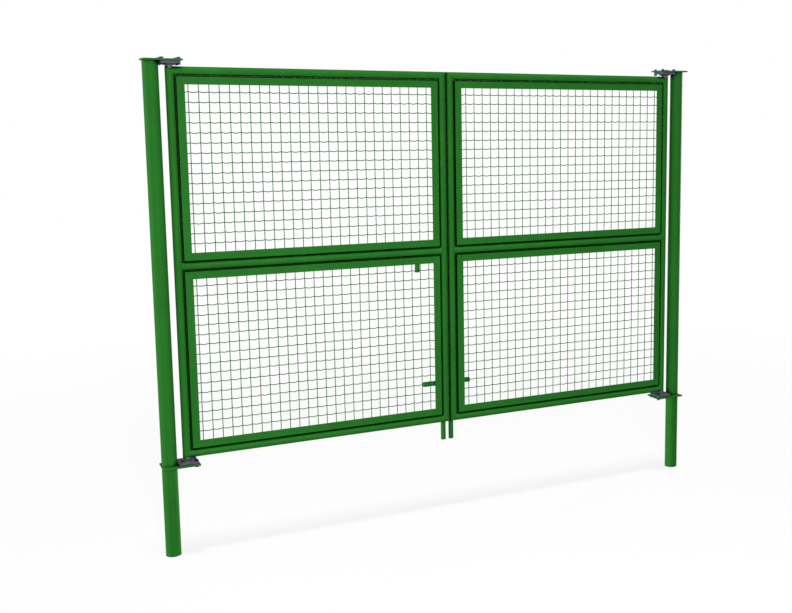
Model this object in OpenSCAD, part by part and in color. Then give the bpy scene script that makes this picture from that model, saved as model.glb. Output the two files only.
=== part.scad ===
// Double swing gate: two round posts, two tube-framed leaves with wire mesh
// panels, flange bearings at the hinges, drop bolts and a slide bolt.
// The origin is the centre of the left post's bottom end. X runs along the
// gate to the right post, Y points to the back and Z is up.

/* [Posts] */
// Outside diameter of a post
post_d = 76; // [60:1:102]
// Wall of a post
post_wall = 3; // [2:0.5:5]
// Length of a post from its buried end to the top plate
post_len = 2500; // [2200:10:3000]
// Clear width between the two posts
clear_opening = 3000; // [2400:10:4000]

/* [Leaves] */
// Height of a leaf
leaf_h = 1972; // [1600:2:2200]
// Outside diameter of the frame tube
tube_d = 42.4; // [38:0.1:48.3]
// Wall of the frame tube
tube_wall = 2.6; // [2:0.1:4]
// Gap between the two closed leaves
meeting_gap = 5; // [5:1:20]

/* [Panels] */
// Groove between the frame tube and the panel angle
panel_groove = 7; // [4:0.5:10]
// Front leg of the panel angle
front_leg = 38; // [34:1:55]
// Back leg of the panel angle
back_leg = 35; // [24:1:38]
// Thickness of the panel angle
angle_t = 3; // [2:0.5:4]
// Root radius of the panel angle
angle_root_r = 3; // [2:0.5:4]
// How far the front of the panel stands before the tube axis
panel_front = 19; // [16:0.5:21]

/* [Mesh] */
// Pitch of the wires
mesh_pitch = 50; // [40:1:80]
// Diameter of the wires
wire_d = 4; // [2:0.5:5]
// Depth of the dips in the horizontal wires
crimp = 3.5; // [1:0.5:6]
// Distance from the hinge side of the opening to the first wire
mesh_side_margin = 16; // [8:1:24]
// Distance from the top of the opening to the first wire
mesh_top_margin = 37; // [20:1:45]
// How far the wires run on behind the panel angle
mesh_lap = 21; // [10:1:30]

/* [Hinges] */
// Length of a hinge plate beyond the post axis
plate_post_end = 40; // [38:1:60]
// Length of a hinge plate beyond the bearing flange
plate_lip = 7.5; // [4:0.5:20]
// Width of a hinge plate beyond each side of the bearing flange
plate_side = 10.5; // [5:0.5:20]
// Thickness of a hinge plate
plate_t = 8; // [6:1:12]
// Space between a hinge plate and the leaf
plate_gap = 27; // [27:1:40]
// Distance from a bearing bolt to the edge of the flange
flange_edge = 9.5; // [8:0.5:14]
// Gap between a post and the bearing flange
flange_gap = 0.5; // [0.5:0.5:20]
// Thickness of the bearing flange
flange_t = 13.5; // [10:0.5:15]
// Corner radius of the bearing flange
flange_r = 12; // [8:1:16]
// Diameter of the bearing hub
hub_d = 62; // [54:1:66]
// Height of the bearing hub above the plate
hub_h = 21.5; // [18:0.5:22]
// Square pitch of the bearing bolts
bolt_pitch = 80; // [76:1:84]
// Diameter of the bearing bolts
bolt_d = 10; // [8:1:12]
// Width across the flats of the bearing bolts
bolt_flats = 17; // [15:1:19]
// Height of a bearing bolt's head
head_h = 6.4; // [5:0.1:8]
// Height of a bearing bolt's nut
nut_h = 8; // [6:0.1:8]
// How far a bearing bolt stands out of its nut
bolt_tip = 0.5; // [0.3:0.1:0.5]
// Diameter of the washer under a bearing bolt's head
washer_d = 20; // [18:1:22]
// Thickness of that washer
washer_t = 1.8; // [1:0.1:2.5]
// Diameter of the pivot pin
pin_d = 25; // [20:1:30]
// Diameter of the pivot's shoulder ring
ring_d = 36; // [34:1:40]

/* [Bolts] */
// Diameter of the drop bolts and the slide bolt
rod_d = 28; // [20:1:30]
// Centre-line radius of a bolt's bend
bend_r = 30; // [26:1:40]
// Reach of a bolt's handle from the rod axis
handle_reach = 118; // [90:1:150]
// How far a lowered drop bolt's tip hangs below the leaf
drop_reach = 113; // [60:1:200]
// Height of a lowered drop bolt's handle above the leaf's bottom
drop_handle_rise = 221; // [219:1:300]
// Length of the slide bolt from its handle to its tip
slide_len = 160; // [150:1:165]
// How far the drawn-back slide bolt's tip stops short of the leaf's edge
slide_back = 4; // [2:1:8]
// Thickness of the guide straps
strap_t = 4; // [3:0.5:5]
// Width of a drop bolt's guide strap
strap_w = 30; // [20:1:40]
// Width of a slide bolt's guide strap
slide_strap_w = 20; // [16:1:24]

/* [Fits] */
// Gap left at a welded seat
seat_gap = 0.2; // [0.1:0.1:0.4]
// Running clearance of a pin in its bearing, on the radius
pin_clear = 0.05; // [0.02:0.01:0.1]
// Clearance of a bearing bolt in its hole, on the radius
bolt_clear = 0.5; // [0.3:0.1:1]
// Clearance of a bolt in its guide, on the radius
rod_clear = 0.5; // [0.3:0.1:0.9]
// Clearance of the slide bolt in its keeper, on each side
keeper_clear = 2; // [1:0.5:4]

/* [Hidden] */
$fn = 64;
// Overrun of every cut past the face that it opens
over = 2;
paint = "forestgreen";

post_r = post_d / 2;
tube_r = tube_d / 2;
rod_r = rod_d / 2;
post_spacing = clear_opening + post_d;
centre_x = post_spacing / 2;

// Bearing flange and hinge plate, and the hinge axis beside the post
bolt_hole_d = bolt_d + 2 * bolt_clear;
hex_d = bolt_flats / cos(30);
both_sides = [-1, 1];
far_side = [1];
flange_w = bolt_pitch + 2 * flange_edge;
plate_w = flange_w + 2 * plate_side;
hinge_x = post_r + flange_gap + flange_w / 2;
plate_len = plate_post_end + hinge_x + flange_w / 2 + plate_lip;

// Axes of the left leaf's tubes
lock_x = centre_x - meeting_gap / 2 - tube_r;
leaf_top = post_len - plate_gap;
leaf_bottom = leaf_top - leaf_h;
mid_z = leaf_top - leaf_h / 2;
bottom_z = leaf_bottom + tube_r;
top_z = leaf_top - tube_r;
lower_plate_z = leaf_bottom - plate_gap;

// Outer corner and size of a lower panel, and its opening
panel_x = hinge_x + tube_r + seat_gap;
panel_z = bottom_z + tube_r + seat_gap;
panel_w = lock_x - hinge_x - 2 * (tube_r + seat_gap);
panel_h = mid_z - bottom_z - 2 * (tube_r + seat_gap);
panel_rise = mid_z - bottom_z;
border = panel_groove + front_leg;
open_w = panel_w - 2 * border;
open_h = panel_h - 2 * border;

// Wires of one panel: a square bar has the section of the round wire
wire_side_share = sqrt(PI) / 2;
wire_w = wire_d * wire_side_share;
wire_weld_share = 0.2;
wire_weld = wire_w * wire_weld_share;
upright_count = floor((open_w - mesh_side_margin) / mesh_pitch) + 1;
level_count = floor((open_h - mesh_top_margin) / mesh_pitch) + 1;
wave_steps = 2;
mesh_y = angle_t - panel_front;

// Pivot: the pin stops short of the plate, its shoulder short of the hub
pin_end_gap = 1;
ring_gap = 0.5;
hub_foot_r = 4;

// Places of the bolts and their guide straps
rod_y = tube_r + rod_clear + rod_r;
strap_r = rod_r + rod_clear + strap_t;
drop_tip_z = leaf_bottom - drop_reach;
drop_handle_z = leaf_bottom + drop_handle_rise;
drop_strap_top = drop_handle_z - bend_r - rod_clear;
drop_strap_low = bottom_z + tube_r + strap_w / 4;
slide_tip_x = lock_x + tube_r - slide_back;
slide_strap_x = lock_x - tube_r - slide_strap_w - rod_clear;

// Copies a shape made for the left side to the right side
module right_side() {
    translate([2 * centre_x, 0, 0]) mirror([1, 0, 0]) children();
}

// Copies a shape made for the bottom of a leaf to its top
module top_side() {
    translate([0, 0, 2 * mid_z]) mirror([0, 0, 1]) children();
}

// Round tube along Z from the origin
module tube(d, wall, len) {
    difference() {
        cylinder(d = d, h = len);
        translate([0, 0, -over]) cylinder(d = d - 2 * wall, h = len + 2 * over);
    }
}

// Solid outline of a leaf tube along Z, used to fit pieces against it
module tube_seat(len) {
    translate([0, 0, -over]) cylinder(r = tube_r + seat_gap, h = len + 2 * over);
}

module post() {
    color(paint) tube(post_d, post_wall, post_len);
}

// Hinge plate with its top face at Z 0, drilled for the bearing's bolts
module hinge_plate(sides) {
    difference() {
        translate([-plate_post_end, -plate_w / 2, -plate_t])
            cube([plate_len, plate_w, plate_t]);
        bolt_places(sides) translate([0, 0, -plate_t - over])
            cylinder(d = bolt_hole_d, h = plate_t + 2 * over);
    }
}

// Bolts of a bearing round the hinge axis: side -1 is beside the post, side 1 away from it
module bolt_places(sides) {
    for (x = sides, y = [-1, 1])
        translate([hinge_x + x * bolt_pitch / 2, y * bolt_pitch / 2, 0]) children();
}

module top_plate() {
    color(paint) top_side() translate([0, 0, lower_plate_z]) hinge_plate(both_sides);
}

// The post runs through the lower plate, which has only the bolts away from it
module lower_plate() {
    color(paint) translate([0, 0, lower_plate_z]) difference() {
        hinge_plate(far_side);
        translate([0, 0, -plate_t - over])
            cylinder(r = post_r + seat_gap, h = plate_t + 2 * over);
    }
}

// Square with round corners, about its centre
module round_square(side, r) {
    square([side - 2 * r, side], center = true);
    square([side, side - 2 * r], center = true);
    for (x = [-1, 1], y = [-1, 1])
        translate([x * (side / 2 - r), y * (side / 2 - r)]) circle(r = r);
}

// Half section of the bearing hub, with a round foot on the flange
module hub_section() {
    difference() {
        union() {
            square([hub_d / 2, hub_h]);
            translate([0, flange_t]) square([hub_d / 2 + hub_foot_r, hub_foot_r]);
        }
        translate([hub_d / 2 + hub_foot_r, flange_t + hub_foot_r]) circle(r = hub_foot_r);
    }
}

// Flange bearing on the lower plate
module bearing() {
    color("dimgray") translate([0, 0, lower_plate_z]) difference() {
        translate([hinge_x, 0, 0]) union() {
            linear_extrude(flange_t) round_square(flange_w, flange_r);
            rotate_extrude() hub_section();
        }
        translate([hinge_x, 0, -over]) cylinder(r = pin_d / 2 + pin_clear, h = hub_h + 2 * over);
        bolt_places(both_sides) translate([0, 0, -over])
            cylinder(d = bolt_hole_d, h = flange_t + 2 * over);
    }
}

// Bolt along Z through plate and flange, its washer against the plate's face at Z 0
module bearing_bolt() {
    stack = plate_t + flange_t;
    translate([0, 0, -washer_t - head_h]) cylinder(d = hex_d, h = head_h, $fn = 6);
    translate([0, 0, -washer_t]) cylinder(d = washer_d, h = washer_t);
    translate([0, 0, stack]) cylinder(d = hex_d, h = nut_h, $fn = 6);
    translate([0, 0, -washer_t - head_h / 2])
        cylinder(d = bolt_d, h = washer_t + head_h / 2 + stack + nut_h + bolt_tip);
}

// Bolts of the bearing on the lower plate
module bearing_bolts(sides) {
    color("darkblue") bolt_places(sides) translate([0, 0, lower_plate_z - plate_t]) bearing_bolt();
}

// Pivot pin with its shoulder ring, cut to the round of the bottom rail
module pivot() {
    color("silver") difference() {
        translate([hinge_x, 0, lower_plate_z]) union() {
            translate([0, 0, pin_end_gap]) cylinder(d = pin_d, h = plate_gap + tube_r - pin_end_gap);
            translate([0, 0, hub_h + ring_gap])
                cylinder(d = ring_d, h = plate_gap + tube_r - hub_h - ring_gap);
        }
        translate([hinge_x - tube_d, 0, bottom_z]) rotate([0, 90, 0]) tube_seat(2 * tube_d);
    }
}

// Keeps what lies inside the mitres of the leaf's frame, on one side of it
module mitre(points) {
    intersection() {
        children();
        translate([0, tube_d, 0]) rotate([90, 0, 0]) linear_extrude(2 * tube_d) polygon(points);
    }
}

half_w = (lock_x - hinge_x) / 2;
half_h = (top_z - bottom_z) / 2;
mid_x = (hinge_x + lock_x) / 2;
corner_reach = tube_d;

// Upright tube of the leaf, mitred at both ends
module stile(x) {
    side = x < mid_x ? -1 : 1;
    inner_x = mid_x + side * (half_w - corner_reach);
    outer_x = mid_x + side * (half_w + corner_reach);
    color(paint) mitre([
        [inner_x, bottom_z + corner_reach],
        [outer_x, bottom_z - corner_reach],
        [outer_x, top_z + corner_reach],
        [inner_x, top_z - corner_reach]
    ]) translate([x, 0, leaf_bottom]) tube(tube_d, tube_wall, leaf_h);
}

// Bottom tube of the leaf, mitred at both ends
module end_rail() {
    color(paint) mitre([
        [hinge_x + corner_reach, bottom_z + corner_reach],
        [hinge_x - corner_reach, bottom_z - corner_reach],
        [lock_x + corner_reach, bottom_z - corner_reach],
        [lock_x - corner_reach, bottom_z + corner_reach]
    ]) translate([hinge_x - tube_r, 0, bottom_z]) rotate([0, 90, 0])
        tube(tube_d, tube_wall, lock_x - hinge_x + tube_d);
}

// Middle tube, cut to the round of both stiles
module mid_rail() {
    color(paint) difference() {
        translate([hinge_x, 0, mid_z]) rotate([0, 90, 0]) tube(tube_d, tube_wall, lock_x - hinge_x);
        for (x = [hinge_x, lock_x])
            translate([x, 0, mid_z - tube_r]) tube_seat(tube_d);
    }
}

// Section of the panel angle and of the strip that closes the groove beside the
// tube: X from the tube into the opening, Y to the back
module angle_section() {
    translate([0, -angle_t / 2]) square([panel_groove + angle_t, angle_t]);
    translate([panel_groove, -panel_front]) {
        square([front_leg, angle_t]);
        square([angle_t, back_leg]);
        difference() {
            square([angle_t + angle_root_r, angle_t + angle_root_r]);
            translate([angle_t + angle_root_r, angle_t + angle_root_r]) circle(r = angle_root_r);
        }
    }
}

// One angle of a panel frame along Z, mitred at both ends
module panel_bar(len) {
    intersection() {
        linear_extrude(len) angle_section();
        translate([0, tube_d, 0]) rotate([90, 0, 0]) linear_extrude(2 * tube_d)
            polygon([[0, 0], [border, border], [border, len - border], [0, len]]);
    }
}

// Both upright angles of a panel whose outer corner is at height z
module panel_sides(z) {
    color(paint) translate([panel_x, 0, z]) {
        panel_bar(panel_h);
        translate([panel_w, 0, 0]) mirror([1, 0, 0]) panel_bar(panel_h);
    }
}

// Both level angles of that panel
module panel_rails(z) {
    color(paint) translate([panel_x, 0, z]) {
        mirror([0, 0, 1]) rotate([0, 90, 0]) panel_bar(panel_w);
        translate([0, 0, panel_h]) rotate([0, 90, 0]) panel_bar(panel_w);
    }
}

function wave(i) = crimp / 2 * cos(360 * i / wave_steps);

// One crimped wire: its dips lie midway between the uprights
module level_wire() {
    last = wave_steps * (upright_count - 1);
    line = concat(
        [[-mesh_side_margin - mesh_lap, 0]],
        [for (i = [0 : last]) [i * mesh_pitch / wave_steps, wave(i)]],
        [[open_w - mesh_side_margin + mesh_lap, 0]]
    );
    lower = [for (p = line) p - [0, wire_w / 2]];
    upper = [for (i = [len(line) - 1 : -1 : 0]) line[i] + [0, wire_w / 2]];
    rotate([90, 0, 0]) linear_extrude(wire_w) polygon(concat(lower, upper));
}

// Wire mesh behind the front legs of the panel whose outer corner is at z
module mesh(z) {
    color("darkgreen") translate([panel_x + border + mesh_side_margin, mesh_y, z + border]) {
        for (i = [0 : upright_count - 1])
            translate([i * mesh_pitch - wire_w / 2, 0, -mesh_lap])
                cube([wire_w, wire_w, open_h + 2 * mesh_lap]);
        for (k = [0 : level_count - 1])
            translate([0, 2 * wire_w - wire_weld, open_h - mesh_top_margin - k * mesh_pitch])
                level_wire();
    }
}

// Rod along Z that bends into a handle towards minus X at its top
module bent_rod(len) {
    cylinder(d = rod_d, h = len - bend_r);
    translate([-bend_r, 0, len - bend_r]) rotate([90, 0, 0])
        rotate_extrude(angle = 90) translate([bend_r, 0]) circle(d = rod_d);
    translate([-handle_reach, 0, len]) rotate([0, 90, 0]) cylinder(d = rod_d, h = handle_reach - bend_r);
}

module drop_bolt() {
    color(paint) translate([lock_x, rod_y, drop_tip_z]) bent_rod(drop_handle_z - drop_tip_z);
}

// Section of a guide strap round a rod at the origin, open to minus Y
module strap_section() {
    reach = rod_y;
    difference() {
        union() {
            circle(r = strap_r);
            translate([-strap_r, -reach]) square([2 * strap_r, reach]);
        }
        circle(r = strap_r - strap_t);
        translate([-strap_r + strap_t, -reach - over])
            square([2 * (strap_r - strap_t), reach + over]);
    }
}

// Straps of the drop bolt, cut to the round of the lock stile
module drop_guides() {
    color(paint) difference() {
        for (z = [drop_strap_low, drop_strap_top - strap_w])
            translate([lock_x, rod_y, z]) linear_extrude(strap_w) strap_section();
        translate([lock_x, 0, leaf_bottom]) tube_seat(leaf_h);
    }
}

// The slide bolt lies along X behind the middle rail, its handle hanging down
module slide_bolt() {
    color(paint) translate([slide_tip_x, rod_y, mid_z]) rotate([0, -90, 0]) bent_rod(slide_len);
}

// Strap round a rod along X, starting at x
module slide_strap(x) {
    translate([x, rod_y, mid_z]) rotate([0, 90, 0]) linear_extrude(slide_strap_w) strap_section();
}

// Strap of the slide bolt across the lock stile
module stile_strap() {
    difference() {
        slide_strap(lock_x - slide_strap_w / 2);
        translate([lock_x, 0, leaf_bottom]) tube_seat(leaf_h);
    }
}

// Straps of the slide bolt on the middle rail and the lock stile
module slide_guides() {
    color(paint) {
        difference() {
            slide_strap(slide_strap_x);
            translate([hinge_x, 0, mid_z]) rotate([0, 90, 0]) tube_seat(lock_x - hinge_x);
        }
        stile_strap();
    }
}

// Square staple across the lock stile, which takes the slide bolt
module staple() {
    half = rod_r + keeper_clear;
    difference() {
        translate([lock_x - slide_strap_w / 2, 0, mid_z - half - strap_t])
            cube([slide_strap_w, rod_y + half + strap_t, 2 * (half + strap_t)]);
        translate([lock_x - slide_strap_w / 2 - over, -over, mid_z - half])
            cube([slide_strap_w + 2 * over, rod_y + half + over, 2 * half]);
        translate([lock_x, 0, leaf_bottom]) tube_seat(leaf_h);
    }
}

module slide_keeper() {
    color(paint) right_side() staple();
}

post();  // left_post
right_side() post();  // right_post
top_plate();  // left_top_plate
right_side() top_plate();  // right_top_plate
lower_plate();  // left_lower_plate
right_side() lower_plate();  // right_lower_plate
top_side() bearing();  // left_top_bearing
right_side() top_side() bearing();  // right_top_bearing
bearing();  // left_lower_bearing
right_side() bearing();  // right_lower_bearing
top_side() bearing_bolts(both_sides);  // left_top_bolts
right_side() top_side() bearing_bolts(both_sides);  // right_top_bolts
bearing_bolts(far_side);  // left_lower_bolts
right_side() bearing_bolts(far_side);  // right_lower_bolts
top_side() pivot();  // left_top_pivot
right_side() top_side() pivot();  // right_top_pivot
pivot();  // left_lower_pivot
right_side() pivot();  // right_lower_pivot
stile(hinge_x);  // left_hinge_stile
right_side() stile(hinge_x);  // right_hinge_stile
stile(lock_x);  // left_lock_stile
right_side() stile(lock_x);  // right_lock_stile
top_side() end_rail();  // left_top_rail
right_side() top_side() end_rail();  // right_top_rail
mid_rail();  // left_mid_rail
right_side() mid_rail();  // right_mid_rail
end_rail();  // left_bottom_rail
right_side() end_rail();  // right_bottom_rail
panel_sides(panel_z + panel_rise);  // left_upper_panel_sides
right_side() panel_sides(panel_z + panel_rise);  // right_upper_panel_sides
panel_rails(panel_z + panel_rise);  // left_upper_panel_rails
right_side() panel_rails(panel_z + panel_rise);  // right_upper_panel_rails
panel_sides(panel_z);  // left_lower_panel_sides
right_side() panel_sides(panel_z);  // right_lower_panel_sides
panel_rails(panel_z);  // left_lower_panel_rails
right_side() panel_rails(panel_z);  // right_lower_panel_rails
mesh(panel_z + panel_rise);  // left_upper_mesh
right_side() mesh(panel_z + panel_rise);  // right_upper_mesh
mesh(panel_z);  // left_lower_mesh
right_side() mesh(panel_z);  // right_lower_mesh
drop_bolt();  // left_drop_bolt
right_side() drop_bolt();  // right_drop_bolt
drop_guides();  // left_drop_guides
right_side() drop_guides();  // right_drop_guides
slide_bolt();
slide_guides();
slide_keeper();
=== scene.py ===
import math

import bpy
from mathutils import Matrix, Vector


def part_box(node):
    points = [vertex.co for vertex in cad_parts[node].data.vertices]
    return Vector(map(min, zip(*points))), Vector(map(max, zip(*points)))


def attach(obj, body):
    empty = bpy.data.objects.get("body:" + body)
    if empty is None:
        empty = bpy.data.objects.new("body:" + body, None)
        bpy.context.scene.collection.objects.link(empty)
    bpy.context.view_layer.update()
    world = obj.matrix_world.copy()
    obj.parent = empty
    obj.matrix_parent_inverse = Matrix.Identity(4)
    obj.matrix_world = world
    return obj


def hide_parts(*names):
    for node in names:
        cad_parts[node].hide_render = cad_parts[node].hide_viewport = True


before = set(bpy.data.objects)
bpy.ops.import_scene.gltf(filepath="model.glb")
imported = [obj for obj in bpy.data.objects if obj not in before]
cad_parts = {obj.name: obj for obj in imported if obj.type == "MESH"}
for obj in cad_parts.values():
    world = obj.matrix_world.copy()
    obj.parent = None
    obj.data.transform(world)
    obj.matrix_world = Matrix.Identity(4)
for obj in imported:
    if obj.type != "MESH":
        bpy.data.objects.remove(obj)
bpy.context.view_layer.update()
scene = bpy.context.scene
scene.view_settings.view_transform = "Standard"
print("frame loaded:", len(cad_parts), "nodes")


class Tap:
    # one output socket of a node tree; sums on taps add Math nodes to that tree

    def __init__(self, tree, socket=None):
        self.tree = tree
        self.socket = socket

    def make(self, kind, settings=None, sockets=None, out=0):
        # any node; a list of taps goes to one socket as several links
        node = self.tree.nodes.new(kind)
        for key, value in (settings or {}).items():
            setattr(node, key, value)
        for key, value in (sockets or {}).items():
            for part in value if isinstance(value, list) else [value]:
                if isinstance(part, Tap):
                    self.tree.links.new(part.socket, node.inputs[key])
                else:
                    node.inputs[key].default_value = part
        return Tap(self.tree, node.outputs[out] if node.outputs else None)

    def reckon(self, operation, first, second=0.0):
        return self.make("ShaderNodeMath", {"operation": operation}, {0: first, 1: second})

    def __add__(self, other):
        return self.reckon("ADD", self, other)

    def __radd__(self, other):
        return self.reckon("ADD", other, self)

    def __sub__(self, other):
        return self.reckon("SUBTRACT", self, other)

    def __rsub__(self, other):
        return self.reckon("SUBTRACT", other, self)

    def __mul__(self, other):
        return self.reckon("MULTIPLY", self, other)

    def __rmul__(self, other):
        return self.reckon("MULTIPLY", other, self)

    def __truediv__(self, other):
        return self.reckon("DIVIDE", self, other)

    def __rtruediv__(self, other):
        return self.reckon("DIVIDE", other, self)

    def __mod__(self, other):
        return self.reckon("MODULO", self, other)

    def __gt__(self, other):
        return self.reckon("GREATER_THAN", self, other)

    def __lt__(self, other):
        return self.reckon("LESS_THAN", self, other)


# camera, fitted to the crossings of the wires
camera = {
    "place": (-0.8307, -5.6532, 2.2226),
    "pitchDown": 7.825,
    "yawRight": 28.262,
    "lens": 49.734,
    "sensor": 36,
    "shift": (-0.1973, -0.0482),
}
lens = bpy.data.cameras.new("photoCamera")
lens.lens = camera["lens"]
lens.sensor_width = camera["sensor"]
lens.shift_x, lens.shift_y = camera["shift"]
viewer = bpy.data.objects.new("photoCamera", lens)
viewer.location = camera["place"]
viewer.rotation_euler = (math.radians(90 - camera["pitchDown"]), 0, math.radians(-camera["yawRight"]))
scene.collection.objects.link(viewer)
scene.camera = viewer


def newMaterial(name):
    material = bpy.data.materials.new(name)
    material.use_nodes = True
    material.node_tree.nodes.clear()
    tap = Tap(material.node_tree)
    return material, tap, tap.make("ShaderNodeTexCoord", out="Object")


def axis(tap, spot, number):
    # x, y or z of a vector, by number
    return tap.make("ShaderNodeSeparateXYZ", sockets={0: spot}, out=number)


def noise(tap, place, scale, detail, stretch=(1, 1, 1)):
    spot = tap.make("ShaderNodeMapping", sockets={"Vector": place, "Scale": stretch})
    return tap.make("ShaderNodeTexNoise", sockets={"Vector": spot, "Scale": scale, "Detail": detail})


def blend(tap, share, first, second):
    return tap.make("ShaderNodeMix", {"data_type": "RGBA"}, {0: share, 6: first, 7: second}, out=2)


def ramp(tap, value, low, high):
    ends = {"Value": value, "From Min": low, "From Max": high}
    return tap.make("ShaderNodeMapRange", {"clamp": True}, ends)


gapRays = 6  # rays that feel for a gap


def recess(tap, reach, low, high):
    # 0 deep in a gap narrower than the reach, 1 on an open face; it places the painted shade in the
    # finishes
    openness = tap.make("ShaderNodeAmbientOcclusion", {"samples": gapRays}, {"Distance": reach}, "AO")
    return ramp(tap, openness, low, high)


def upward(tap):
    return axis(tap, tap.make("ShaderNodeNewGeometry", out="Normal"), 2)


def bumps(tap, height, strength, depth):
    sockets = {"Strength": strength, "Distance": depth, "Height": height}
    return tap.make("ShaderNodeBump", sockets=sockets)


def surface(tap, sockets):
    shader = tap.make("ShaderNodeBsdfPrincipled", sockets=sockets)
    tap.make("ShaderNodeOutputMaterial", sockets={"Surface": shader})


# in the finishes, a pattern is its noise's scale, detail and stretch, a key with Ends holds the values
# where it starts and where it is full, and a gap is its reach and two such values

# both powder coats
powder = {
    "cloud": (5.0, 3.0),
    "runs": (30.0, 2.0, (1, 1, 0.06)),
    "grain": (420.0, 2.0),
    "shares": (0.55, 0.25, 0.20),  # of cloud, runs and grain in the tone
    "toneEnds": (0.38, 0.62),
    "dustFall": (55.0, 4.0),
    "dustEnds": (0.40, 0.75),
    "facingEnds": (0.55, 1.0),  # how far up a face looks that holds dust
    "dustShare": 0.35,
    "peel": (700.0, 1.0),
    "peelDepth": 0.0004,
    "grainRough": 0.10,
    "dustRough": 0.15,
    "foot": 0.045,  # height up to which the floor counts as no gap, so no painted shade is laid there
}

# green powder coat on all the tube, plate and bar
coat = {
    "colour": (0.0212, 0.1746, 0.0194, 1),
    "deep": (0.0176, 0.1500, 0.0168, 1),
    "dust": (0.050, 0.190, 0.046, 1),
    # near-black painted shade for the gaps, and the gap test that places it
    "paintedGapShade": (0.0012, 0.0080, 0.0012, 1),
    "gap": (0.040, 0.50, 0.77),
    "rough": 0.50,
    "shine": 0.03,
    "peel": 0.10,
}

# the same coat a shade darker on the drawn wire, which has no gaps
wireCoat = {
    "colour": (0.0180, 0.1480, 0.0165, 1),
    "deep": (0.0145, 0.1220, 0.0135, 1),
    "dust": (0.040, 0.160, 0.036, 1),
    "rough": 0.45,
    "shine": 0.05,
    "peel": 0.15,
}


def powderCoat(name, look):
    # the coat has painted shade, near black, down in the gaps, and gathers a little dust on top
    material, tap, place = newMaterial(name)
    cloud = noise(tap, place, *powder["cloud"])
    runs = noise(tap, place, *powder["runs"])
    grain = noise(tap, place, *powder["grain"])
    peel = noise(tap, place, *powder["peel"])
    cloudShare, runShare, grainShare = powder["shares"]
    tone = ramp(tap, cloud * cloudShare + runs * runShare + grain * grainShare, *powder["toneEnds"])
    fallen = ramp(tap, noise(tap, place, *powder["dustFall"]), *powder["dustEnds"])
    settled = ramp(tap, upward(tap), *powder["facingEnds"]) * fallen
    colour = blend(tap, tone, look["deep"], look["colour"])
    colour = blend(tap, settled * powder["dustShare"], colour, look["dust"])
    # painted shade: the coat goes near black in the gaps, but not near the floor
    if "gap" in look:
        foot = 1 - ramp(tap, axis(tap, place, 2), 0.0, powder["foot"])
        colour = blend(tap, recess(tap, *look["gap"]) + foot, look["paintedGapShade"], colour)
    surface(tap, {
        "Base Color": colour,
        "Roughness": look["rough"] + powder["grainRough"] * grain + powder["dustRough"] * settled,
        "Specular IOR Level": look["shine"],
        "Normal": bumps(tap, peel, look["peel"], powder["peelDepth"]),
    })
    return material


greenPaint = powderCoat("greenPaint", coat)
wirePaint = powderCoat("wirePaint", wireCoat)

# grey enamel on the sand-cast bearing housings, with painted shade near black in the gaps
casting = {
    "colour": (0.130, 0.130, 0.143, 1),
    "dark": (0.085, 0.085, 0.095, 1),
    # near-black painted shade for the gaps, and the gap test that places it
    "paintedGapShade": (0.006, 0.006, 0.007, 1),
    "gap": (0.060, 0.45, 0.88),
    "rough": 0.50,
    "shine": 0.12,
    "sand": (650.0, 3.0),
    "pits": (260.0, 2.0),
    "pitEnds": (0.30, 0.55),
    "cloud": (40.0, 3.0),
    "shares": (0.6, 0.4),  # of the coarse pattern and of the sand
    "toneEnds": (0.38, 0.60),
    "bump": (0.35, 0.0005),  # strength, depth
    "sandRough": 0.15,
}


def castHousing(name, look):
    material, tap, place = newMaterial(name)
    sand = noise(tap, place, *look["sand"])
    pits = ramp(tap, noise(tap, place, *look["pits"]), *look["pitEnds"])
    cloud = noise(tap, place, *look["cloud"])
    coarse, fine = look["shares"]
    tone = ramp(tap, cloud * coarse + sand * fine, *look["toneEnds"])
    colour = blend(tap, tone, look["dark"], look["colour"])
    # painted shade: the grey goes near black in the gaps
    colour = blend(tap, recess(tap, *look["gap"]), look["paintedGapShade"], colour)
    surface(tap, {
        "Base Color": colour,
        "Roughness": look["rough"] + look["sandRough"] * sand,
        "Specular IOR Level": look["shine"],
        "Normal": bumps(tap, sand * fine + pits * coarse, *look["bump"]),
    })
    return material


housingGrey = castHousing("housingGrey", casting)

# turned steel of the pivots, under patches of grease; the grey is darkened as painted shade on the pins,
# and the grease colour is laid into the gaps as painted shade
turned = {
    # a dark grey that stands in for the shade on the pins, painted shade
    "colour": (0.115, 0.115, 0.120, 1),
    "greaseAndGapShade": (0.030, 0.028, 0.024, 1),
    "gap": (0.030, 0.25, 0.70),
    "rough": 0.42,
    "shine": 0.15,
    "lines": (1400.0, 1.0, (0.02, 0.02, 1)),
    "film": (90.0, 3.0),
    "filmEnds": (0.50, 0.68),
    "filmShare": 0.55,
    "feed": 900.0,  # the tool's marks, in radians a metre
    "bump": (0.2, 0.0002),  # strength, depth
    "lineRough": 0.12,
    "feedRough": 0.06,
    "bareMetal": 0.25,
    "filmLoss": 0.2,
}


def turnedSteel(name, look):
    material, tap, place = newMaterial(name)
    lines = noise(tap, place, *look["lines"])
    film = ramp(tap, noise(tap, place, *look["film"]), *look["filmEnds"])
    feed = 0.5 + 0.5 * tap.reckon("SINE", axis(tap, place, 2) * look["feed"])
    colour = blend(tap, film * look["filmShare"], look["colour"], look["greaseAndGapShade"])
    # painted shade: the grease colour darkens the steel in the gaps
    colour = blend(tap, recess(tap, *look["gap"]), look["greaseAndGapShade"], colour)
    surface(tap, {
        "Base Color": colour,
        "Roughness": look["rough"] + look["lineRough"] * lines + look["feedRough"] * feed,
        "Metallic": look["bareMetal"] - look["filmLoss"] * film,
        "Specular IOR Level": look["shine"],
        "Normal": bumps(tap, lines, *look["bump"]),
    })
    return material


pivotSteel = turnedSteel("pivotSteel", turned)

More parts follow.
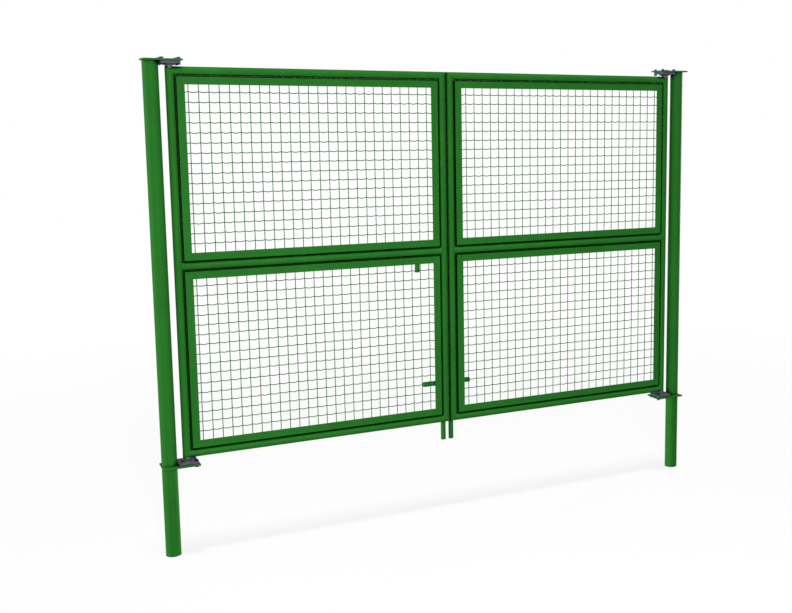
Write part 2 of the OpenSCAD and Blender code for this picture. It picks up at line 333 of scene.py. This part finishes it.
# deep blue finish of the bearing bolts
plating = {
    "colour": (0.0100, 0.0080, 0.2300, 1),
    "shade": (0.0060, 0.0050, 0.1200, 1),
    "rough": 0.40,
    "shine": 0.10,
    "cloud": (160.0, 3.0),
    "toneEnds": (0.35, 0.65),
    "scratch": (900.0, 2.0, (1, 1, 0.2)),
    "bump": (0.12, 0.0002),  # strength, depth
    "scratchRough": 0.15,
    "metal": 0.10,
}


def bluePlating(name, look):
    material, tap, place = newMaterial(name)
    cloud = noise(tap, place, *look["cloud"])
    scratch = noise(tap, place, *look["scratch"])
    surface(tap, {
        "Base Color": blend(tap, ramp(tap, cloud, *look["toneEnds"]), look["shade"], look["colour"]),
        "Roughness": look["rough"] + look["scratchRough"] * scratch,
        "Metallic": look["metal"] * cloud,
        "Specular IOR Level": look["shine"],
        "Normal": bumps(tap, scratch, *look["bump"]),
    })
    return material


boltBlue = bluePlating("boltBlue", plating)

# dark rubber of the bearing seals
sealLook = {
    "colour": (0.018, 0.018, 0.019, 1),
    "bloom": (0.060, 0.058, 0.055, 1),
    "rough": 0.55,
    "patches": (120.0, 4.0),
    "patchEnds": (0.45, 0.75),
    "fine": (1100.0, 2.0),
    "bump": (0.15, 0.0002),  # strength, depth
    "bloomRough": 0.20,
}


def rubberLip(name, look):
    material, tap, place = newMaterial(name)
    bloom = ramp(tap, noise(tap, place, *look["patches"]), *look["patchEnds"])
    surface(tap, {
        "Base Color": blend(tap, bloom, look["colour"], look["bloom"]),
        "Roughness": look["rough"] + look["bloomRough"] * bloom,
        "Normal": bumps(tap, noise(tap, place, *look["fine"]), *look["bump"]),
    })
    return material


sealBlack = rubberLip("sealBlack", sealLook)
print("finishes ready")

# finishes of the solids by the last word of their names, green on all the others
finishes = {
    "bearing": housingGrey,
    "pivot": pivotSteel,
    "mesh": wirePaint,
    "bolts": boltBlue,
}
for name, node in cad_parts.items():
    node.data.materials.clear()
    node.data.materials.append(finishes.get(name.split("_")[-1], greenPaint))
print("solids painted")


def newGraph(name, inputs):
    tree = bpy.data.node_groups.new(name, "GeometryNodeTree")
    tree.interface.new_socket("Geometry", in_out="INPUT", socket_type="NodeSocketGeometry")
    for label, kind in inputs.items():
        tree.interface.new_socket(label, in_out="INPUT", socket_type="NodeSocket" + kind)
    tree.interface.new_socket("Geometry", in_out="OUTPUT", socket_type="NodeSocketGeometry")
    entry = tree.nodes.new("NodeGroupInput")
    use = {socket.name: Tap(tree, socket) for socket in entry.outputs if socket.name}
    return tree, Tap(tree), use


def endGraph(tap, geometry, finish, smooth):
    solid = tap.make("GeometryNodeRealizeInstances", sockets={"Geometry": geometry})
    solid = tap.make("GeometryNodeSetShadeSmooth", sockets={"Geometry": solid, "Shade Smooth": smooth})
    solid = tap.make("GeometryNodeSetMaterial", sockets={"Geometry": solid, "Material": finish})
    tap.make("NodeGroupOutput", sockets={0: solid})


def bakeGraph(name, tree, values, host=None):
    piece = bpy.data.objects.new(name, host or bpy.data.meshes.new(name))
    scene.collection.objects.link(piece)
    maker = piece.modifiers.new("maker", "NODES")
    maker.node_group = tree
    labels = {item.name: item.identifier for item in tree.interface.items_tree if item.in_out == "INPUT"}
    for label, value in values.items():
        maker[labels[label]] = value
    graph = bpy.context.evaluated_depsgraph_get()
    made = bpy.data.meshes.new_from_object(piece.evaluated_get(graph))
    piece.modifiers.remove(maker)
    piece.data = made
    made.name = name
    print(name, "has", len(made.polygons), "faces")
    return piece


def joined(tap, parts):
    return tap.make("GeometryNodeJoinGeometry", sockets={0: parts})


def vector(tap, x=0.0, y=0.0, z=0.0):
    return tap.make("ShaderNodeCombineXYZ", sockets={0: x, 1: y, 2: z})


def position(tap):
    spot = tap.make("GeometryNodeInputPosition")
    return [axis(tap, spot, number) for number in range(3)]


def copies(tap, points, shape, turn=None, only=None):
    sockets = {"Points": points, "Instance": shape}
    if turn:
        sockets["Rotation"] = turn
    if only:
        sockets["Selection"] = only
    return tap.make("GeometryNodeInstanceOnPoints", sockets=sockets)


def hostPoints(name, spots):
    # one point a copy, with the turn and the kind of that copy
    host = bpy.data.meshes.new(name)
    host.from_pydata([place for place, turn, kind in spots], [], [])
    host.attributes.new("turn", "FLOAT_VECTOR", "POINT")
    host.attributes.new("kind", "INT", "POINT")
    for index, (place, turn, kind) in enumerate(spots):
        host.attributes["turn"].data[index].vector = turn
        host.attributes["kind"].data[index].value = kind
    return host


def stored(tap, name, kind):
    return tap.make("GeometryNodeInputNamedAttribute", {"data_type": kind}, {"Name": name})


def row(tap, count, start, step):
    return tap.make("GeometryNodeMeshLine", {"mode": "OFFSET"}, {
        "Count": count,
        "Start Location": start,
        "Offset": step,
    })


def moved(tap, shape, shift, turn=(0, 0, 0)):
    sockets = {"Geometry": shape, "Translation": shift, "Rotation": turn}
    return tap.make("GeometryNodeTransform", sockets=sockets)


def straight(tap, start, end):
    return tap.make("GeometryNodeCurvePrimitiveLine", sockets={"Start": start, "End": end})


def circle(tap, points, radius):
    return tap.make("GeometryNodeCurvePrimitiveCircle", sockets={"Resolution": points, "Radius": radius})


def swept(tap, curve, section, capped=True, swell=1.0):
    return tap.make("GeometryNodeCurveToMesh", sockets={
        "Curve": curve,
        "Profile Curve": section,
        "Scale": swell,
        "Fill Caps": capped,
    })


def drum(tap, points, radius=1.0, depth=1.0, rings=2):
    settings = {"fill_type": "NGON"}
    sockets = {"Vertices": points, "Radius": radius, "Depth": depth, "Side Segments": rings}
    return tap.make("GeometryNodeMeshCylinder", settings, sockets)


# wire mesh: straight uprights, level wires that dip between them, a weld spot at each crossing
wires = {
    "pitch": 0.050,
    "wire": 0.004,
    "coat": 0.00025,
    "crimp": 0.0035,
    "uprights": 26,
    "levels": 16,
    "lap": 0.021,
    "sideMargin": 0.016,
    "topMargin": 0.037,
    "sides": 8,
    "steps": 8,  # along a level wire, to a pitch
    "sunk": 0.88,  # wire diameters between the middles of two wires that are welded together
    "spot": 0.62,  # radius of a weld spot, in wire diameters
    "spotSteps": 2,
}


def wireGraph():
    tree, tap, use = newGraph("wovenWire", {
        "Pitch": "Float", "Wire": "Float", "Coat": "Float", "Crimp": "Float", "Uprights": "Int",
        "Levels": "Int", "Corner": "Vector", "Height": "Float", "Top": "Float", "Before": "Float",
        "After": "Float", "Rise": "Float", "Paint": "Material",
    })
    pitch = use["Pitch"]
    wire = use["Wire"]
    section = circle(tap, wires["sides"], wire / 2 + use["Coat"])
    # uprights
    bar = swept(tap, straight(tap, (0, 0, 0), vector(tap, z=use["Height"])), section)
    uprights = copies(tap, row(tap, use["Uprights"], use["Corner"], vector(tap, x=pitch)), bar)
    # one level wire, highest at the uprights
    span = pitch * (use["Uprights"] - 1)
    line = straight(tap, vector(tap, x=0 - use["Before"]), vector(tap, x=span + use["After"]))
    line = tap.make("GeometryNodeResampleCurve", {"mode": "LENGTH"}, {
        "Curve": line,
        "Length": pitch / wires["steps"],
    })
    wave = tap.reckon("COSINE", position(tap)[0] / pitch * math.tau) * use["Crimp"] / 2
    line = tap.make("GeometryNodeSetPosition", sockets={"Geometry": line, "Offset": vector(tap, z=wave)})
    level = swept(tap, line, section)
    # weld spots sit between the two wires
    spotStart = vector(tap, y=wire * (wires["sunk"] / -2), z=use["Crimp"] / 2)
    drop = tap.make("GeometryNodeMeshIcoSphere", sockets={
        "Radius": wire * wires["spot"],
        "Subdivisions": wires["spotSteps"],
    })
    spots = copies(tap, row(tap, use["Uprights"], spotStart, vector(tap, x=pitch)), drop)
    first = tap.make("ShaderNodeVectorMath", {"operation": "ADD"}, {
        0: use["Corner"],
        1: vector(tap, y=wire * wires["sunk"], z=use["Top"]),
    })
    heights = row(tap, use["Levels"], first, vector(tap, z=0 - pitch))
    levels = copies(tap, heights, joined(tap, [level, spots]))
    panels = row(tap, 2, (0, 0, 0), vector(tap, z=use["Rise"]))  # the lower and the upper one
    endGraph(tap, copies(tap, panels, joined(tap, [uprights, levels])), use["Paint"], True)
    return tree


def wirePanels(side, tree):
    low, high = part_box(side + "_lower_mesh")
    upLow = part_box(side + "_upper_mesh")[0]
    span = wires["pitch"] * (wires["uprights"] - 1)
    near = wires["lap"] + wires["sideMargin"]
    far = high.x - low.x - span - near
    before, after = (near, far) if side == "left" else (far, near)  # the first wire is at the hinge
    piece = bakeGraph(side + "_wires", tree, {
        "Pitch": wires["pitch"], "Wire": wires["wire"], "Coat": wires["coat"], "Crimp": wires["crimp"],
        "Uprights": wires["uprights"], "Levels": wires["levels"],
        "Corner": (low.x + before, low.y + wires["wire"] / 2, low.z),
        "Height": high.z - low.z, "Top": high.z - low.z - wires["lap"] - wires["topMargin"],
        "Before": before, "After": after, "Rise": upLow.z - low.z, "Paint": wirePaint,
    })
    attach(piece, side + "_leaf")
    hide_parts(side + "_lower_mesh", side + "_upper_mesh")


wovenWire = wireGraph()
for side in ("left", "right"):
    wirePanels(side, wovenWire)
print("wire mesh made")

# bearing bolts: head and washer on the plate, nut and thread end on the flange
bolts = {
    "pitch": 0.080,
    "flange": 0.0135,
    "flats": 0.017,
    "head": 0.0064,
    "nut": 0.0080,
    "shank": 0.010,
    "washer": 0.020,
    "washerThick": 0.0018,
    "tip": 0.0005,
    "tipShare": 0.4,  # of the tip that is not turned down
    "tipLoss": 0.16,  # of the radius at the end
    "points": 32,
    "hexPoints": 48,
    "nudge": 0.0001,  # keeps the points on the corners to one side of the fold
    "crown": 0.47,  # radius of the crown, to a width across flats of 1
    "chamfer": 0.577,  # fall of the chamfer, 30 degrees
}
midRing = 0.25  # tells apart the edges of a drum, at -0.5, 0 and 0.5


def hexBlock(tap, flats, height):
    # a drum drawn out to a hexagon, with the turned corner chamfer on top
    x, y, z = position(tap)
    angle = tap.reckon("ARCTAN2", y, x)
    nudge = bolts["nudge"]
    fold = (angle + math.tau + nudge) % (math.pi / 3) - (math.pi / 6 + nudge)
    corner = flats / 2 / tap.reckon("COSINE", fold)
    crown = flats * bolts["crown"]
    reach = corner + (z > midRing) * (crown - corner)
    rise = (1 - (z < -midRing)) * (height - (reach - crown) * bolts["chamfer"])
    across = tap.reckon("COSINE", angle) * reach
    along = tap.reckon("SINE", angle) * reach
    return tap.make("GeometryNodeSetPosition", sockets={
        "Geometry": drum(tap, bolts["hexPoints"]),
        "Position": vector(tap, across, along, rise),
    })


def pointedBar(tap, radius, shoulder, end):
    # stands on the plate and is turned down from the shoulder to the end
    x, y, z = position(tap)
    top = z > midRing
    reach = radius * (1 - top * bolts["tipLoss"])
    rise = (z > -midRing) * shoulder + top * (end - shoulder)
    return tap.make("GeometryNodeSetPosition", sockets={
        "Geometry": drum(tap, bolts["points"]),
        "Position": vector(tap, x * reach, y * reach, rise),
    })


def boltGraph():
    tree, tap, use = newGraph("bearingBolts", {
        "Flats": "Float", "Head": "Float", "Nut": "Float", "Shank": "Float", "Washer": "Float",
        "Washer Thick": "Float", "Tip": "Float", "Grip": "Float", "Finish": "Material",
    })
    thick = use["Washer Thick"]
    head = hexBlock(tap, use["Flats"], use["Head"])
    head = moved(tap, head, vector(tap, z=0 - thick), (math.pi, 0, 0))
    nut = moved(tap, hexBlock(tap, use["Flats"], use["Nut"]), vector(tap, z=use["Grip"]))
    washer = drum(tap, bolts["points"], use["Washer"] / 2, thick, 1)
    washer = moved(tap, washer, vector(tap, z=0 - thick + thick / 2))
    face = use["Grip"] + use["Nut"]
    shank = pointedBar(tap, use["Shank"] / 2, face + use["Tip"] * bolts["tipShare"], face + use["Tip"])
    bolt = joined(tap, [head, nut, washer, shank])
    every = copies(tap, use["Geometry"], bolt, stored(tap, "turn", "FLOAT_VECTOR"))
    endGraph(tap, every, use["Finish"], False)
    return tree


upright = (0, 0, 0)
upsideDown = (math.pi, 0, 0)


def bearingBolts():
    spots = []
    nodes = []
    half = bolts["pitch"] / 2
    for side, away in (("left", 1), ("right", -1)):
        # the two holes of a lower bearing that are next to the post stay bare
        for level, columns in (("lower", (away,)), ("top", (-1, 1))):
            low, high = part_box(side + "_" + level + "_bearing")
            plateLow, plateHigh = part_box(side + "_" + level + "_plate")
            outer = plateLow.z if level == "lower" else plateHigh.z
            grip = plateHigh.z - plateLow.z + bolts["flange"]
            for column in columns:
                for line in (-1, 1):
                    place = ((low.x + high.x) / 2 + column * half, line * half, outer)
                    spots.append((place, upright if level == "lower" else upsideDown, 0))
            nodes.append(side + "_" + level + "_bolts")
    piece = bakeGraph("bearing_bolts", boltGraph(), {
        "Flats": bolts["flats"], "Head": bolts["head"], "Nut": bolts["nut"], "Shank": bolts["shank"],
        "Washer": bolts["washer"], "Washer Thick": bolts["washerThick"], "Tip": bolts["tip"],
        "Grip": grip, "Finish": boltBlue,
    }, hostPoints("boltPlaces", spots))
    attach(piece, "posts")
    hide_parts(*nodes)


bearingBolts()
print("bearing bolts made")

# seals: a flat rubber ring on each hub, with a raised lip round the pivot
seals = {
    "inner": 0.0190,
    "outer": 0.0275,
    "proud": 0.0004,
    "sunk": 0.0004,
    "lip": 0.0009,
    "points": 64,
    "lipSides": 10,
    "edge": 0.75,  # radius of the ring's edges, to a ring that is proud by 1
    "edgeSteps": 3,
}


def sealGraph():
    tree, tap, use = newGraph("bearingSeals", {
        "Inner": "Float", "Outer": "Float", "Proud": "Float", "Sunk": "Float", "Lip": "Float",
        "Rubber": "Material",
    })
    middle = circle(tap, seals["points"], (use["Inner"] + use["Outer"]) / 2)
    section = tap.make("GeometryNodeCurvePrimitiveQuadrilateral", sockets={
        "Width": use["Outer"] - use["Inner"],
        "Height": use["Proud"] + use["Sunk"],
    })
    section = tap.make("GeometryNodeFilletCurve", {"mode": "POLY"}, {
        "Curve": section,
        "Count": seals["edgeSteps"],
        "Radius": use["Proud"] * seals["edge"],
    })
    disc = swept(tap, middle, section, False)
    disc = moved(tap, disc, vector(tap, z=(use["Proud"] - use["Sunk"]) / 2))
    lip = circle(tap, seals["points"], use["Inner"] + use["Lip"])
    lip = swept(tap, lip, circle(tap, seals["lipSides"], use["Lip"]), False)
    every = copies(tap, use["Geometry"], joined(tap, [disc, lip]), stored(tap, "turn", "FLOAT_VECTOR"))
    endGraph(tap, every, use["Rubber"], True)
    return tree


def bearingSeals():
    spots = []
    for side in ("left", "right"):
        for level in ("lower", "top"):
            low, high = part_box(side + "_" + level + "_bearing")
            face = high.z if level == "lower" else low.z
            turn = upright if level == "lower" else upsideDown
            spots.append((((low.x + high.x) / 2, 0, face), turn, 0))
    piece = bakeGraph("bearing_seals", sealGraph(), {
        "Inner": seals["inner"], "Outer": seals["outer"], "Proud": seals["proud"],
        "Sunk": seals["sunk"], "Lip": seals["lip"], "Rubber": sealBlack,
    }, hostPoints("sealPlaces", spots))
    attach(piece, "posts")


bearingSeals()
print("bearing seals made")

# weld seams round the tubes, and the bead down each lock stile that shuts out the light between
# the leaves; angles are in degrees
seams = {
    "tube": 0.0212,
    "post": 0.0380,
    "ring": 0.0180,
    "flat": 30.0,  # radius that stands for a flat plate
    "bead": 0.0019,
    "postBead": 0.0017,
    "ripple": 0.14,
    "ripples": 1.6,  # radians of ripple to a length of one bead radius
    "steps": 120,
    "sides": 8,
    "parting": 0.002,  # between the two ends of a whole ring, in radians
    "postFree": 24.0,  # left open on each side where the bearing comes close
    "railFree": 35.0,  # left open on each side at the back, for the slide bolt
    "stopBead": 0.0022,
    "stopSides": 12,
    "stopSunk": 0.0007,
    "stopAngle": 22.8,
    "stopEnd": 0.003,
}


def seamRing(tap, branch, main, bead, ripple, centre, free):
    # runs where a tube of the branch radius meets a face of the main radius, left open round the centre
    arc = tap.make("GeometryNodeCurveArc", {"mode": "RADIUS"}, {
        "Resolution": seams["steps"],
        "Radius": branch,
        "Start Angle": centre + free,
        "Sweep Angle": math.tau - seams["parting"] - free * 2,
    })
    x, y = position(tap)[:2]
    fall = tap.reckon("SQRT", main * main - y * y) - main
    length = tap.reckon("ARCTAN2", y, x) * branch / bead
    swell = 1 + ripple * tap.reckon("SINE", length * seams["ripples"])
    arc = tap.make("GeometryNodeSetPosition", sockets={"Geometry": arc, "Offset": vector(tap, z=fall)})
    return swept(tap, arc, circle(tap, seams["sides"], bead), True, swell)


def seamGraph(name, kinds, stopped):
    # one ring shape for each kind of point, in the order of the kinds
    inputs = {kind + size: "Float" for kind in kinds for size in (" Branch", " Main", " Free")}
    inputs.update({"Bead": "Float", "Ripple": "Float", "Free Centre": "Float", "Paint": "Material"})
    if stopped:
        inputs.update({"Stop Low": "Vector", "Stop High": "Vector", "Stop Bead": "Float"})
    tree, tap, use = newGraph(name, inputs)
    turn = stored(tap, "turn", "FLOAT_VECTOR")
    number = stored(tap, "kind", "INT")
    same = {"data_type": "INT", "operation": "EQUAL"}
    parts = []
    for index, kind in enumerate(kinds):
        sizes = [use[kind + " Branch"], use[kind + " Main"], use["Bead"], use["Ripple"]]
        ring = seamRing(tap, *sizes, use["Free Centre"], use[kind + " Free"])
        only = tap.make("FunctionNodeCompare", same, {2: number, 3: index})
        parts.append(copies(tap, use["Geometry"], ring, turn, only))
    if stopped:
        line = straight(tap, use["Stop Low"], use["Stop High"])
        parts.append(swept(tap, line, circle(tap, seams["stopSides"], use["Stop Bead"])))
    endGraph(tap, joined(tap, parts), use["Paint"], True)
    return tree


def leafSeams(side, away, tree):
    stileLow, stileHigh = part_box(side + "_hinge_stile")
    lockLow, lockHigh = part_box(side + "_lock_stile")
    railLow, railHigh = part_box(side + "_mid_rail")
    hinge = (stileLow.x + stileHigh.x) / 2
    lock = (lockLow.x + lockHigh.x) / 2
    middle = (railLow.z + railHigh.z) / 2
    tube = seams["tube"]
    quarter = math.pi / 2 * away
    # place, turn, and kind: 0 at the rail, 1 at the pivots
    spots = [
        ((hinge + away * tube, 0, middle), (0, quarter, 0), 0),
        ((lock - away * tube, 0, middle), (0, -quarter, 0), 0),
        ((hinge, 0, lockHigh.z), upright, 1),
        ((hinge, 0, lockLow.z), upsideDown, 1),
    ]
    reach = tube - seams["stopSunk"]
    angle = math.radians(seams["stopAngle"])
    edge = (lock + away * reach * math.cos(angle), -away * reach * math.sin(angle))
    piece = bakeGraph(side + "_seams", tree, {
        "Rail Branch": tube, "Rail Main": tube, "Rail Free": math.radians(seams["railFree"]),
        "Pivot Branch": seams["ring"], "Pivot Main": tube, "Pivot Free": 0.0,
        "Bead": seams["bead"], "Ripple": seams["ripple"], "Free Centre": math.pi / 2,
        "Stop Low": (edge[0], edge[1], lockLow.z + seams["stopEnd"]),
        "Stop High": (edge[0], edge[1], lockHigh.z - seams["stopEnd"]),
        "Stop Bead": seams["stopBead"], "Paint": greenPaint,
    }, hostPoints(side + "SeamPlaces", spots))
    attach(piece, side + "_leaf")


def postSeams(tree):
    spots = []
    for side, swing in (("left", 0), ("right", math.pi)):
        postLow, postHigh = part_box(side + "_post")
        centre = (postLow.x + postHigh.x) / 2
        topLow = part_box(side + "_top_plate")[0]
        low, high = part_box(side + "_lower_plate")
        spots.append(((centre, 0, topLow.z), (math.pi, 0, swing), 0))
        spots.append(((centre, 0, high.z), (0, 0, swing), 0))
        spots.append(((centre, 0, low.z), (math.pi, 0, swing), 0))
    piece = bakeGraph("post_seams", tree, {
        "Post Branch": seams["post"], "Post Main": seams["flat"],
        "Post Free": math.radians(seams["postFree"]), "Free Centre": 0.0,
        "Bead": seams["postBead"], "Ripple": seams["ripple"], "Paint": greenPaint,
    }, hostPoints("postSeamPlaces", spots))
    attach(piece, "posts")


leafGraph = seamGraph("leafSeams", ("Rail", "Pivot"), True)
leafSeams("left", 1, leafGraph)
leafSeams("right", -1, leafGraph)
postSeams(seamGraph("postSeams", ("Post",), False))
print("seams made")

# studio: pale floor and white world, a lamp in front, one overhead and one behind each post
studio = {
    "white": (1, 1, 1, 1),
    "floorSize": 60.0,
    "middle": (1.54, 0.0, 0.0),
    "floorColour": (0.80, 0.80, 0.80, 1),
    "floorBounce": (0.08, 0.08, 0.08, 1),
    "ambient": 0.05,
    "floorGlow": (0.84, 1.0),  # share of plain white near the gate and far from it
    "fade": (2.2, 6.0),
    "lamps": {  # kind, place, aim, size or angle, power
        "keyLamp": ("AREA", (-0.6, -7.0, 2.4), (1.4, 0.0, 1.3), 1.2, 485.0),
        "leftLamp": ("SUN", (-6.0, 2.7, 1.9), (1.5, 0.0, 1.3), 0.15, 2.7),
        "rightLamp": ("SUN", (9.0, 2.9, 1.9), (1.5, 0.0, 1.3), 0.15, 3.2),
        "topLamp": ("SUN", (1.5, -0.4, 8.0), (1.5, 0.0, 0.0), 0.12, 2.2),
    },
}


def seenDirectly(tap):
    # camera, mirror and see-through rays
    path = tap.make("ShaderNodeLightPath", out="Is Camera Ray")
    glossy = tap.make("ShaderNodeLightPath", out="Is Glossy Ray")
    through = tap.make("ShaderNodeLightPath", out="Is Transmission Ray")
    return tap.reckon("MINIMUM", path + glossy + through, 1.0)


def whiteWorld(look):
    world = bpy.data.worlds.new("studioWorld")
    world.use_nodes = True
    world.node_tree.nodes.clear()
    scene.world = world
    tap = Tap(world.node_tree)
    glow = tap.make("ShaderNodeBackground", sockets={
        "Color": look["white"],
        "Strength": look["ambient"] + (1 - look["ambient"]) * seenDirectly(tap),
    })
    tap.make("ShaderNodeOutputWorld", sockets={"Surface": glow})


def paleFloor(look):
    material, tap, place = newMaterial("studioFloor")
    direct = seenDirectly(tap)
    matte = tap.make("ShaderNodeBsdfDiffuse", sockets={
        "Color": blend(tap, direct, look["floorBounce"], look["floorColour"]),
    })
    white = tap.make("ShaderNodeEmission", sockets={"Color": look["white"], "Strength": 1.0})
    apart = {0: place, 1: look["middle"]}
    away = tap.make("ShaderNodeVectorMath", {"operation": "DISTANCE"}, apart, "Value")
    near, far = look["floorGlow"]
    share = direct * (near + (far - near) * ramp(tap, away, *look["fade"]))
    mixed = tap.make("ShaderNodeMixShader", sockets={0: share, 1: matte, 2: white})
    tap.make("ShaderNodeOutputMaterial", sockets={"Surface": mixed})
    half = look["floorSize"] / 2
    sheet = bpy.data.meshes.new("studioFloor")
    corners = [(-half, -half, 0), (half, -half, 0), (half, half, 0), (-half, half, 0)]
    sheet.from_pydata(corners, [], [(0, 1, 2, 3)])
    sheet.materials.append(material)
    floor = bpy.data.objects.new("studioFloor", sheet)
    scene.collection.objects.link(floor)


def hangLamps(lamps):
    for name, (kind, place, aim, size, power) in lamps.items():
        lamp = bpy.data.lights.new(name, kind)
        lamp.energy = power
        if kind == "AREA":
            lamp.shape = "DISK"
            lamp.size = size
        else:
            lamp.angle = size
        holder = bpy.data.objects.new(name, lamp)
        holder.location = place
        holder.rotation_euler = (Vector(aim) - Vector(place)).to_track_quat("-Z", "Y").to_euler()
        scene.collection.objects.link(holder)


whiteWorld(studio)
paleFloor(studio)
hangLamps(studio["lamps"])
print("studio lit")
